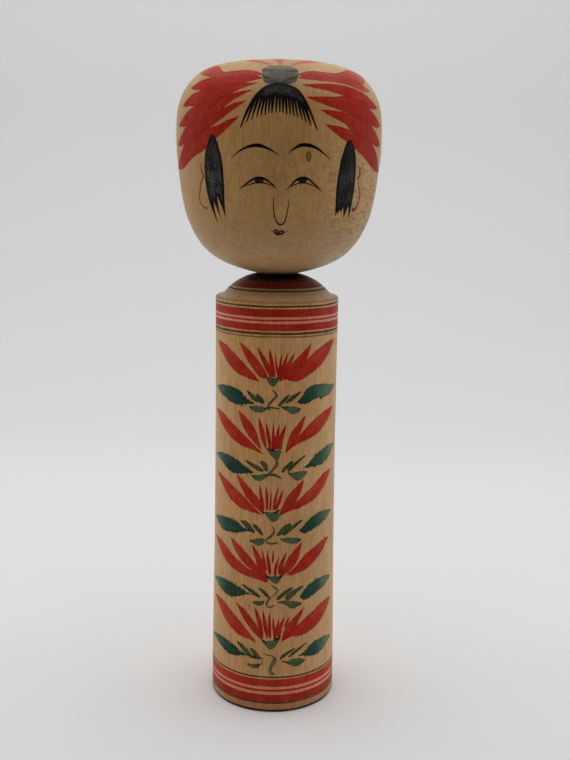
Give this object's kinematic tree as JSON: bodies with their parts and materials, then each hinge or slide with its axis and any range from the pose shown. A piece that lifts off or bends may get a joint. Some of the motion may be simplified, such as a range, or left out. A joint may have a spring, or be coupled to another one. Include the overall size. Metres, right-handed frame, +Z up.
{
  "type": "kokeshi doll",
  "caption": "Turned wooden doll: a slender round column body with a domed shoulder and a large round head that turns on its own neck peg, painted with a face and stacked flowers.",
  "frame": {"origin": "centre of the base, on the surface the doll stands on", "axes": "+Z up along the doll's turning axis, face towards -Y, the doll's left hand side towards +X"},
  "size_m": [0.0938, 0.0938, 0.303],
  "materials": {
    "bare_wood": "waxed, satin",
    "head_wood": "waxed, satin",
    "red_dye": "dyed and waxed, satin",
    "green_dye": "dyed and waxed, satin",
    "black_ink": "inked and waxed, satin"
  },
  "bodies": {
    "body": {"body": "bare_wood"},
    "head": {"head": "head_wood"}
  },
  "joints": [
    {"name": "head_turn", "type": "hinge", "parent": "body", "child": "head", "pos_m": [0, 0, 0.2079], "axis": [0, 0, 1], "continuous": true}
  ]
}
